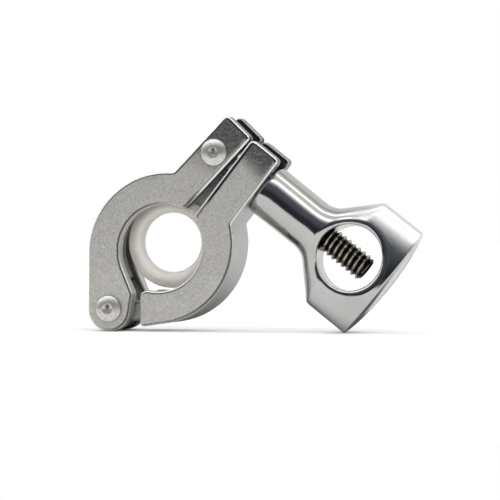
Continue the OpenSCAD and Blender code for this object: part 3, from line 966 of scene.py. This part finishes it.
lip_turns = [ROUND_END * k / ROUND_STEPS for k in range(ROUND_STEPS + 1)]
lip = [(WINDOW_ROUND * (1 - cos(turn)), WINDOW_DROP * (1 - sin(turn))) for turn in lip_turns]
lip.append((lip[-1][0] + LIP_OVERRUN, lip[-1][1] - LIP_OVERRUN))
window_rings = [window_ring(lip[-1][0], lambda reach, wide: -CUT_HEIGHT)]
for side, steps in ((-1, lip[::-1]), (1, lip)):
    for widen, sink in steps:
        window_rings.append(window_ring(widen, lambda reach, wide: side * (skin_height(reach, wide) - sink)))
window_rings.append(window_ring(lip[-1][0], lambda reach, wide: CUT_HEIGHT))
bore_r = BOLT_R + THREAD_GAP
bore_turns = [4 * pi * k / WINDOW_STEPS for k in range(WINDOW_STEPS // 2)]
bore_rings = [
    [in_nut(reach, (bore_r + widen) * cos(turn), (bore_r + widen) * sin(turn)) for turn in bore_turns]
    for reach, widen in ((-CUT_CLEAR, MOUTH_FLARE), (MOUTH_DEPTH, 0), (WINDOW_REACH, 0))
]
tools = [cutter("window_cutter", window_rings), cutter("bore_cutter", bore_rings)]


def polished_steel(graph):
    """Polished steel, a mirror along the barrel, duller on the wings, with a painted highlight on the upper
    one.
    """
    place = graph.add("ShaderNodeTexCoord", out="Object")
    reach = measured(graph, "DOT_PRODUCT", place, bolt_way)
    wide = measured(graph, "DOT_PRODUCT", place, wing_way)
    thick = measured(graph, "DOT_PRODUCT", place, thick_way)
    off_middle = wide - pivot.dot(wing_way)
    across = off_middle.math("ABSOLUTE")
    along = reach - (pivot.dot(bolt_way) + nut_start + WINDOW_REACH)
    from_window = (across * across + along * along).math("SQRT")
    rubbed = across.step(*RUBBED_FROM) * from_window.step(*POLISHED_RIM)
    cloud = noise(graph, place, NUT_CLOUDS, 3)
    stroke = graph.add("ShaderNodeCombineXYZ", values={"X": reach * STROKE_STRETCH, "Y": wide, "Z": thick})
    brushed = noise(graph, stroke, STROKE_WIDTH, 3, 0.6)
    fine = noise(graph, place, NUT_GRAIN, 3, 0.6)
    colour = graph.blend(cloud.step(0.3, 0.7), NUT_STEEL, NUT_CLOUD)
    colour = graph.blend(across.step(*WORKED_FROM), colour, NUT_WORKED)
    # The upper wing is painted pale as a highlight.
    colour = graph.blend(off_middle.step(*HIGHLIGHT_FROM), colour, NUT_HIGHLIGHT)
    height = (fine * 0.4 + brushed * 0.6) * (1.6 + across.step(*STROKES_FROM) * 4)
    return {
        "Base Color": colour,
        "Metallic": 1.0,
        "Roughness": 0.09 + cloud * 0.05 + rubbed * 0.17,
        "Normal": bumps(graph, height, 0.15, NUT_RELIEF),
    }


nut_mesh.materials.append(surface("polished_nut_steel", polished_steel))
finished(nut, "nut", "polished_steel", "wing_nut")
smooth(nut.data, NUT_SHARP)
for tool in tools:
    bpy.data.objects.remove(tool)

# Gasket
# A moulded ring of white silicone: a flared hole, a rounded bead and a thinner rim that lies in the groove.
# Nothing fastens it, and it stays with the right half when the clamp opens.
GASKET_R = 0.0119
GASKET_HOLE_R = 0.00775
GASKET_LAND = 0.0003
GASKET_BEAD = 0.0022
GASKET_RIM = 0.0013
GASKET_STEPS = 128
GASKET_SHARP = radians(50)
FLANK_RULE = (
    (0.00, GASKET_LAND), (0.05, 0.00095), (0.12, 0.00160), (0.20, 0.00200), (0.29, 0.00217),
    (0.38, GASKET_BEAD), (0.48, 0.00216), (0.58, 0.00204), (0.68, 0.00184), (0.78, 0.00162),
    (0.88, 0.00144), (0.96, GASKET_RIM), (1.00, 0.00105),
)
GASKET_CLOUDS = 0.005
GASKET_GRAIN = 0.0004
GASKET_RELIEF = 0.00005
SILICONE_WHITE = (243, 240, 234)
SILICONE_CREAM = (236, 231, 220)
SILICONE_GLOW = (0.002, 0.0018, 0.0015)
near_flank = [(GASKET_HOLE_R + (GASKET_R - GASKET_HOLE_R) * share, -height) for share, height in FLANK_RULE]
far_flank = [(radius, -height) for radius, height in reversed(near_flank)]
gasket_profile = near_flank + far_flank + near_flank[:1]
gasket_mesh = lathe("moulded_gasket", gasket_profile, about(middle("gasket")), GASKET_STEPS)
smooth(gasket_mesh, GASKET_SHARP)


def tone(red, green, blue):
    """A colour given as 0 to 255 levels of a screen, in linear light."""
    def linear(level):
        share = level / 255
        return share / 12.92 if share <= 0.04045 else ((share + 0.055) / 1.055) ** 2.4
    return (linear(red), linear(green), linear(blue), 1)


def silicone(graph):
    """Slightly clouded white silicone, which light enters a little way."""
    place = graph.add("ShaderNodeTexCoord", out="Object")
    cloud = noise(graph, place, GASKET_CLOUDS, 3)
    return {
        "Base Color": graph.blend(cloud.step(0.3, 0.7), tone(*SILICONE_WHITE), tone(*SILICONE_CREAM)),
        "Roughness": 0.36 + cloud * 0.08,
        "Normal": bumps(graph, noise(graph, place, GASKET_GRAIN, 3), 0.12, GASKET_RELIEF),
        "Subsurface Weight": 0.25,
        "Subsurface Radius": SILICONE_GLOW,
        "Subsurface Scale": 0.6,
    }


gasket_mesh.materials.append(surface("white_silicone", silicone))
gasket = placed("moulded_gasket", gasket_mesh)
finished(gasket, "moving_half", "gasket_rubber", "gasket")
